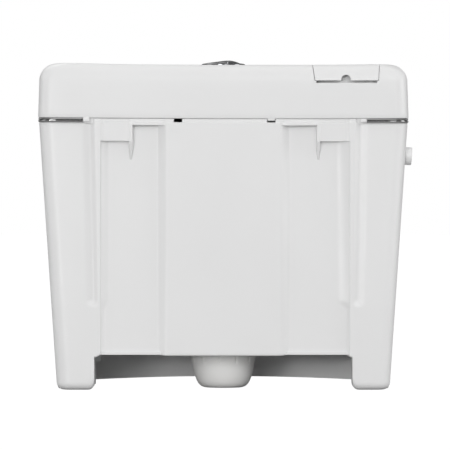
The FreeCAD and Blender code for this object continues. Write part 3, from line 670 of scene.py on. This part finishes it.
def make_tank():
    shell = Shell()
    tank_wall(shell)
    tank_lip(shell)
    ring = plain_ring(FLOOR_LOW, FLOOR_LOW, 2.0)
    floor_plate(shell, FLOOR_LOW, FLOOR_TOP, ring, [(0, VALVE_Y, 26.0), (150.0, VALVE_Y, 11.0)])
    for side in (1, -1):
        foot_box(shell, side)
        rim_lug(shell, side)
    return shell.make("tank_visual", WHITE, "tank", ["tank_shell"], "white_plastic", sharp=28.0)


def make_strip():
    """Bright bead swept round the seam, from one rear end to the other."""
    section = [(0.5, 289.1), (0.1, 289.2), (-0.35, 289.6), (-0.85, 290.4), (-0.98, 290.8), (-0.9, 291.1),
               (0.6, 291.35), (0.75, 291.6), (0.6, 291.95), (-0.75, 292.2), (-0.9, 292.5), (-0.7, 292.9),
               (-0.15, 293.5), (0.2, 293.66), (0.5, 293.7), (2.6, 293.7), (2.6, 289.1)]
    rings = []
    for off, z in section:
        ring = plain_ring(z, SEAT, off, [0, 152.2, 158, 165, 172, 178])[1:-1]
        x, y, _ = ring[-1]
        ring[-1] = (FAR_TRIM + x, y, z)
        rings.append(ring)
    stations = [[ring[index] for ring in rings] for index in range(len(rings[0]))]
    shell = Shell()
    shell.grid(stations, closed_cols=True)
    shell.polygon(stations[0])
    shell.polygon(stations[-1])
    return shell.make("seam_strip", CHROME, "tank", ["trim_strip"], "chrome_trim", sharp=50.0)


# ---------------------------------------------------------------- lid

def lid_ring(z, inset_x, inset_y, off):
    """Plan outline of the lid at one height; the insets draw in its ends and its front and rear."""
    rise = clamp((z - LID_LOW) / (LID_SHOULDER - LID_LOW))
    half = mix(LID_HALF, LID_HALF_UP, rise) - inset_x
    front = mix(LID_FRONT, LID_FRONT_UP, rise) + inset_y
    turn = inset_x / LID_ROUND
    rear_r = REAR_R - off * 0.6 + 2.0 * turn
    front_r = FRONT_R - off * 0.6 - 8.0 * turn
    return plan_ring(z, half - off, REAR - inset_y - off, front + off, rear_r, front_r)


def lid_skin(off, edge):
    """Rings from the lower edge over the rounded shoulder and across the flat top to the button's hole."""
    rings = [lid_ring(LID_LOW + rise, 0.0, 0.0, off + pull) for rise, pull in edge]
    rings += [lid_ring(z, 0.0, 0.0, off) for z in (300.0, 308.0, 318.0)]
    for t in arc_steps(14):
        turn = 0.5 * math.pi * t
        inset = 1.0 - math.cos(turn)
        z = LID_SHOULDER + (LID_ROUND - off) * math.sin(turn)
        rings.append(lid_ring(z, (LID_ROUND - off) * inset, (LID_REAR_ROUND - off) * inset, off))
    rim = rings[-1]
    for t in (0.06, 0.14, 0.25, 0.38, 0.52, 0.66, 0.8, 0.92, 1.0):
        ring = []
        for x, y, _ in rim:
            angle = math.atan2(y - VALVE_Y, x)
            hole_x, hole_y = LID_HOLE_R * math.cos(angle), VALVE_Y + LID_HOLE_R * math.sin(angle)
            ring.append((mix(x, hole_x, t), mix(y, hole_y, t), LID_TOP - off))
        rings.append(ring)
    return rings


def triangulated(obj):
    """Splits every face into triangles, so that the cuts leave no open edges."""
    bm = bmesh.new()
    bm.from_mesh(obj.data)
    bmesh.ops.triangulate(bm, faces=bm.faces)
    bm.to_mesh(obj.data)
    bm.free()


def boolean(target, tool, operation):
    """Cuts the target with a tool and applies the result to its mesh."""
    mod = target.modifiers.new("cut", "BOOLEAN")
    mod.operation = operation
    mod.object = tool
    mod.solver = "EXACT"
    graph = bpy.context.evaluated_depsgraph_get()
    graph.update()
    mesh = bpy.data.meshes.new_from_object(target.evaluated_get(graph))
    target.modifiers.clear()
    old = target.data
    target.data = mesh
    bpy.data.meshes.remove(old)


def cutting_tool(shell, name):
    return shell.make(name, None, None, bend=False)


def drop(obj):
    mesh = obj.data
    bpy.data.objects.remove(obj)
    bpy.data.meshes.remove(mesh)


def finished(obj, name, mat, body, replaced, extra):
    """Merges extra shells into a cut mesh, marks sharp edges and rides it on a body."""
    bm = bmesh.new()
    bm.from_mesh(obj.data)
    bmesh.ops.remove_doubles(bm, verts=bm.verts, dist=MERGE * MM)
    made = [bm.verts.new((x * MM, y * MM, (z + sag(x, z)) * MM)) for x, y, z in extra.v]
    for face in extra.f:
        bm.faces.new([made[i] for i in face])
    bmesh.ops.remove_doubles(bm, verts=made, dist=MERGE * MM)
    bmesh.ops.recalc_face_normals(bm, faces=bm.faces)
    for face in bm.faces:
        face.material_index = 0
    drop(obj)
    return from_bm(name, bm, mat, body, replaced, 30.0)


def window_tool(gap, y0, z0, radius, slot=0.0, notched=False):
    """Upright slab in the flap's outline, seen from behind, that reaches past the lid's rear.

    The gap widens it, the slot adds a narrower cut under its lower edge, and notched takes a round
    finger notch out of the middle of that edge.
    """
    x0, x1 = FLAP_LOW - gap, FLAP_HIGH + gap
    low0, low1 = x0 + 1.2, x1 - 2.6
    base, above = z0 + slot, 365.0
    corners = [(x1, above), (x0, above), (x0, LID_TOP)]
    for cx, start in ((low0 + radius, 180), (low1 - radius, 270)):
        if slot and start == 270:
            corners += [(low0 + 2.0, base), (low0 + 2.0, z0), (low1 - 2.0, z0), (low1 - 2.0, base)]
        if notched and start == 270:
            middle = (FLAP_LOW + FLAP_HIGH) / 2
            for t in arc_steps(20):
                turn = math.radians(mix(188.7, -8.7, t))
                corners.append((middle + NOTCH_R * math.cos(turn), z0 + 0.8 + NOTCH_R * math.sin(turn)))
        for t in arc_steps(6):
            turn = math.radians(start + 90 * t)
            corners.append((cx + radius * math.cos(turn), base + radius + radius * math.sin(turn)))
    corners.append((x1, LID_TOP))
    shell = Shell()
    shell.prism(corners, y0, 85.0, 1)
    return shell


def lid_extras():
    """What stands inside the lid: hinge blocks, ribs, a latch and the ledge that the flap rests on."""
    shell = Shell()
    for low, high in ((FLAP_HIGH + 0.5, FLAP_HIGH + 7.0), (FLAP_LOW - 7.0, FLAP_LOW - 0.5)):
        shell.rounded_box((low, 20.5, 347.0), (high, 30.5, 352.2), 0.8)
    for low in (FLAP_HIGH + 4.0, FLAP_LOW - 7.0):
        shell.rounded_box((low, 32.0, 338.0), (low + 3.0, 52.0, 352.2), 0.6)
    for x in (-60.0, 60.0, -30.0, 30.0):
        shell.rounded_box((x - 1.0, -54.0, 344.0), (x + 1.0, 54.0, 352.2), 0.5)
    shell.rounded_box((-55.8, 67.8, 291.7), (-47.8, 69.7, 297.0), 0.4)
    ledge = [(58.7, 326.0), (67.6, 326.0), (67.6, 328.9), (67.2, 329.4), (60.9, 330.2), (60.5, 330.6),
             (60.2, 342.0), (59.8, 342.4), (59.1, 342.4), (58.7, 342.1)]
    shell.prism(ledge, FLAP_LOW - 1.0, FLAP_HIGH + 1.0, 0)
    return shell


def make_lid():
    """Lid and flap, both cut from one skin, and the flap's hinge barrel and pins."""
    outer = lid_skin(0.0, ((0.0, 1.0), (0.12, 0.5), (0.45, 0.15), (1.0, 0.0)))
    inner = lid_skin(LID_WALL, ((0.0, 0.0), (0.4, 0.0), (1.0, 0.0), (2.0, 0.0)))
    shell = Shell()
    shell.grid(outer + inner[::-1], closed_rows=True, closed_cols=True)
    skin = shell.make("lid_skin", None, None)
    triangulated(skin)
    flap = skin.copy()
    flap.data = skin.data.copy()
    bpy.context.scene.collection.objects.link(flap)

    cutter = cutting_tool(window_tool(gap=0.5, y0=22.6, z0=331.6, radius=0.9, slot=2.3), "window")
    boolean(skin, cutter, "DIFFERENCE")
    drop(cutter)
    keeper = cutting_tool(window_tool(gap=0.0, y0=FLAP_Y, z0=FLAP_EDGE, radius=1.2, notched=True),
                          "flap_window")
    boolean(flap, keeper, "INTERSECT")
    drop(keeper)

    finished(skin, "lid_visual", WHITE, "lid", ["lid_shell"], lid_extras())
    hinge = Shell()
    along_x = Matrix.Translation((FLAP_LOW, FLAP_Y, FLAP_Z)) @ Matrix.Rotation(math.pi / 2, 4, "Y")
    length = FLAP_HIGH - FLAP_LOW
    profile = [(0.01, -4.0), (1.0, -4.0), (1.2, -3.8), (1.2, 0.0), (2.0, 0.0), (2.2, 0.2),
               (2.2, length - 0.2), (2.0, length), (1.2, length), (1.2, length + 3.8), (1.0, length + 4.0),
               (0.01, length + 4.0)]
    hinge.revolve(profile, 24, along_x)
    finished(flap, "flap_visual", WHITE, "flap", ["access_flap"], hinge)


# ---------------------------------------------------------------- button, nut and plug

def make_bezel():
    """Low bright ring that the two half buttons stand in."""
    profile = [(20.75, 354.0), (20.75, 356.5), (21.0, 356.85), (21.6, 356.95), (22.6, 356.8),
               (23.4, 356.45), (23.75, 356.0), (23.8, 355.5), (23.8, 354.05)]
    shell = Shell()
    shell.revolve(profile, 96, Matrix.Translation((0, VALVE_Y, 0)))
    shell.make("bezel_visual", DARK_CHROME, "lid", ["button_bezel"], "dark_chrome", sharp=40.0)


def button_outline(side, split):
    """D-shaped outline of one half of the button, in plan."""
    first = math.acos(split / BUTTON_R)
    start, end = (-first, first) if side > 0 else (first, 2 * math.pi - first)
    points = []
    for t in arc_steps(56):
        turn = mix(start, end, t)
        points.append((BUTTON_R * math.cos(turn), BUTTON_R * math.sin(turn)))
    chord = points[-1][1]
    for t in arc_steps(14)[1:-1]:
        points.append((split, mix(chord, -chord, t)))
    return points


def make_button(side, name, replaced, body, split, crown):
    """One half of the round button, crowned, with a rounded rim."""
    centre = 9.0 if side > 0 else -12.5
    base = button_outline(side, split)
    rings = [[(x, y + VALVE_Y, BUTTON_LOW) for x, y in base]]
    for t in arc_steps(6):
        turn = 0.5 * math.pi * t
        ring = []
        for x, y in base:
            bevel = 0.35 if abs(x - split) < 0.01 else 1.3
            shrink = bevel * (1 - math.cos(turn)) / math.hypot(centre - x, y)
            px, py = x + (centre - x) * shrink, y - y * shrink
            ring.append((px, py + VALVE_Y, crown(px, py) - bevel * (1 - math.sin(turn))))
        rings.append(ring)
    rim = rings[-1]
    for t in (0.15, 0.32, 0.5, 0.68, 0.85, 0.97):
        ring = []
        for x, y, _ in rim:
            px, py = mix(x, centre, t), mix(y - VALVE_Y, 0.0, t)
            ring.append((px, py + VALVE_Y, crown(px, py)))
        rings.append(ring)
    shell = Shell()
    shell.grid(rings, closed_cols=True)
    shell.polygon(rings[0])
    shell.polygon(rings[-1])
    shell.make(name, DARK_CHROME, body, replaced, "dark_chrome", sharp=35.0)


def full_crown(x, y):
    """Long straight slope away from the split."""
    return 360.8 - 0.135 * math.hypot(x + 5.1, 2.2) - 0.0062 * y * y


def half_crown(x, y):
    """Steeper rounded fall on the short side of the split."""
    return 360.5 - 0.0185 * (x + 5.1) ** 2 - 0.0062 * y * y


def make_outlet_nut():
    """Cup-shaped nut under the tank, with shallow grip notches round its rim."""
    profile = [(17.6, 0.6), (19.5, 0.62), (21.5, 1.0), (23.8, 1.9), (25.8, 3.3), (27.6, 5.4), (29.2, 8.3),
               (30.7, 12.2), (32.0, 17.0), (33.1, 22.5), (34.1, 27.8), (34.5, 28.6), (35.0, 31.5),
               (35.3, 35.4), (35.2, 36.3), (34.8, 36.6), (32.6, 36.6), (32.4, 36.2), (32.4, 29.0),
               (31.9, 28.5), (25.0, 28.5), (25.0, 5.2), (17.5, 4.4), (17.5, 0.8)]
    pitch, first = 30.0, 90.0 - 6.0

    def grip(radius, z, turn):
        if z < 28.0 or radius < 34.0:
            return radius
        wave = ((math.degrees(turn) - first) / pitch) % 1.0
        near = min(wave, 1.0 - wave) * pitch
        return radius - 1.2 * (1.0 - smooth((near - 0.9) / 1.1))

    shell = Shell()
    shell.revolve(profile, 240, Matrix.Translation((0, VALVE_Y, 0)), grip)
    shell.make("outlet_nut_visual", NUT_WHITE_PAINTED_BRIGHT, "tank", ["outlet_nut"], "nut_plastic", sharp=35.0)


def make_side_plug():
    """Flanged plug in the -X end, square to the leaning wall."""
    tilt = math.atan((HALF_TOP - HALF_BASE) / TAPER)
    z = 253.5
    foot = Vector((-half_at(z), 42.0, z))
    outward_x = Vector((-math.cos(tilt), 0, -math.sin(tilt)))
    place = Matrix.Translation(foot) @ outward_x.to_track_quat("Z", "Y").to_matrix().to_4x4()
    profile = [(0.01, 4.4), (5.4, 4.4), (6.0, 4.7), (6.2, 7.0), (6.6, 7.3), (8.9, 7.3), (9.5, 7.0),
               (9.8, 6.3), (9.9, 0.6), (9.6, 0.1), (6.9, 0.05), (6.9, -13.4), (6.3, -14.0), (0.01, -14.0)]
    shell = Shell()
    shell.revolve(profile, 72, place)
    shell.make("side_plug_visual", WHITE, "tank", ["side_inlet_plug"], "white_plastic", sharp=35.0)


make_tank()
make_strip()
make_lid()
make_bezel()
make_button(1, "full_button_visual", ["full_flush_button"], "full_button", -4.9, full_crown)
make_button(-1, "half_button_visual", ["half_flush_button"], "half_button", -5.1, half_crown)
make_outlet_nut()
make_side_plug()


# ---------------------------------------------------------------- floor, light and camera

def emission(tree, value):
    node = tree.nodes.new("ShaderNodeEmission")
    node.inputs["Color"].default_value = grey(1.0)
    node.inputs["Strength"].default_value = value
    return node


def make_floor():
    """Very large plain floor: it lights the piece softly and is seen as plain white."""
    mesh = bpy.data.meshes.new("floor")
    size = 60.0
    corners = [(-size, -size, 0), (size, -size, 0), (size, size, 0), (-size, size, 0)]
    mesh.from_pydata(corners, [], [(0, 1, 2, 3)])
    floor = bpy.data.objects.new("floor", mesh)
    bpy.context.scene.collection.objects.link(floor)
    mat = bpy.data.materials.new("floor_white")
    mat.use_nodes = True
    tree = mat.node_tree
    shader = tree.nodes["Principled BSDF"]
    shader.inputs["Base Color"].default_value = grey(0.3)
    shader.inputs["Roughness"].default_value = 0.9
    path = tree.nodes.new("ShaderNodeLightPath")
    blend = tree.nodes.new("ShaderNodeMixShader")
    soft = tree.nodes.new("ShaderNodeMixShader")
    soft.inputs["Fac"].default_value = 0.08
    out = tree.nodes["Material Output"]
    tree.links.new(emission(tree, 1.1).outputs["Emission"], soft.inputs[1])
    tree.links.new(shader.outputs["BSDF"], soft.inputs[2])
    tree.links.new(path.outputs["Is Camera Ray"], blend.inputs["Fac"])
    tree.links.new(shader.outputs["BSDF"], blend.inputs[1])
    tree.links.new(soft.outputs["Shader"], blend.inputs[2])
    tree.links.new(blend.outputs["Shader"], out.inputs["Surface"])
    mesh.materials.append(mat)


def sky(tree, stops, strength):
    """Grey sky by height above the horizon, given as (height, grey) stops."""
    place = tree.nodes.new("ShaderNodeTexCoord")
    split = tree.nodes.new("ShaderNodeSeparateXYZ")
    tree.links.new(place.outputs["Generated"], split.inputs["Vector"])
    lift = tree.nodes.new("ShaderNodeMath")
    lift.operation = "MULTIPLY_ADD"
    lift.inputs[1].default_value = 0.5
    lift.inputs[2].default_value = 0.5
    tree.links.new(split.outputs["Z"], lift.inputs[0])
    tone = tree.nodes.new("ShaderNodeValToRGB")
    while len(tone.color_ramp.elements) < len(stops):
        tone.color_ramp.elements.new(0.5)
    for element, (height, value) in zip(tone.color_ramp.elements, stops):
        element.position = 0.5 + 0.5 * height
        element.color = grey(value)
    tree.links.new(lift.outputs["Value"], tone.inputs["Fac"])
    background = tree.nodes.new("ShaderNodeBackground")
    background.inputs["Strength"].default_value = strength
    tree.links.new(tone.outputs["Color"], background.inputs["Color"])
    return background


def make_world():
    """White to the camera, a soft room to diffuse light, and a darker banded room to gloss."""
    world = bpy.data.worlds.new("studio")
    bpy.context.scene.world = world
    world.use_nodes = True
    tree = world.node_tree
    soft = sky(tree, [(-0.2, 0.55), (0.05, 1.0), (0.35, 1.0), (0.8, 0.62)], 0.72)
    gloss = sky(tree, [(0.0, 0.06), (0.28, 0.10), (0.36, 0.70), (0.50, 0.85), (0.62, 0.12), (0.9, 0.55)],
                0.60)
    white = tree.nodes["Background"]
    white.inputs["Color"].default_value = grey(1.0)
    white.inputs["Strength"].default_value = 1.0
    path = tree.nodes.new("ShaderNodeLightPath")
    first = tree.nodes.new("ShaderNodeMixShader")
    second = tree.nodes.new("ShaderNodeMixShader")
    tree.links.new(path.outputs["Is Glossy Ray"], first.inputs["Fac"])
    tree.links.new(soft.outputs["Background"], first.inputs[1])
    tree.links.new(gloss.outputs["Background"], first.inputs[2])
    tree.links.new(path.outputs["Is Camera Ray"], second.inputs["Fac"])
    tree.links.new(first.outputs["Shader"], second.inputs[1])
    tree.links.new(white.outputs["Background"], second.inputs[2])
    tree.links.new(second.outputs["Shader"], tree.nodes["World Output"].inputs["Surface"])


def area_light(name, where, aim, size, power):
    """Rectangular lamp at a place in metres, turned towards its aim."""
    data = bpy.data.lights.new(name, "AREA")
    data.shape = "RECTANGLE"
    data.size, data.size_y = size
    data.energy = power
    lamp = bpy.data.objects.new(name, data)
    bpy.context.scene.collection.objects.link(lamp)
    lamp.location = where
    lamp.rotation_euler = (Vector(aim) - Vector(where)).to_track_quat("-Z", "Y").to_euler()


def make_camera():
    """Level camera behind the tank, so far back that the view is nearly flat."""
    distance, seen_width = 4.2, 0.486
    data = bpy.data.cameras.new("camera")
    data.sensor_width = 36.0
    data.lens = data.sensor_width * distance / seen_width
    data.clip_end = 100.0
    cam = bpy.data.objects.new("camera", data)
    bpy.context.scene.collection.objects.link(cam)
    cam.location = (-0.0018, REAR * MM + distance, 0.1782)
    cam.rotation_euler = (math.radians(90), 0, math.radians(180))
    bpy.context.scene.camera = cam


make_floor()
make_world()
area_light("key", (-1.1, 3.7, 1.5), (0, 0, 0.2), (1.4, 1.2), 28)
area_light("fill", (1.2, 3.9, 0.8), (0, 0, 0.2), (1.4, 1.0), 28)
area_light("low", (2.0, 3.9, 0.3), (0, 0, 0.05), (0.9, 0.4), 18)
area_light("left", (3.4, 0.6, 0.9), (0, 0, 0.2), (1.8, 1.4), 10)
area_light("right", (-3.4, 0.6, 0.9), (0, 0, 0.2), (1.8, 1.4), 29)
area_light("top", (0, 0.3, 2.6), (0, 0, 0.3), (1.6, 1.2), 4)
area_light("front", (0.9, -1.8, 2.6), (0, 0, 0.2), (1.4, 1.2), 15)
make_camera()
bpy.context.scene.view_settings.view_transform = "Standard"
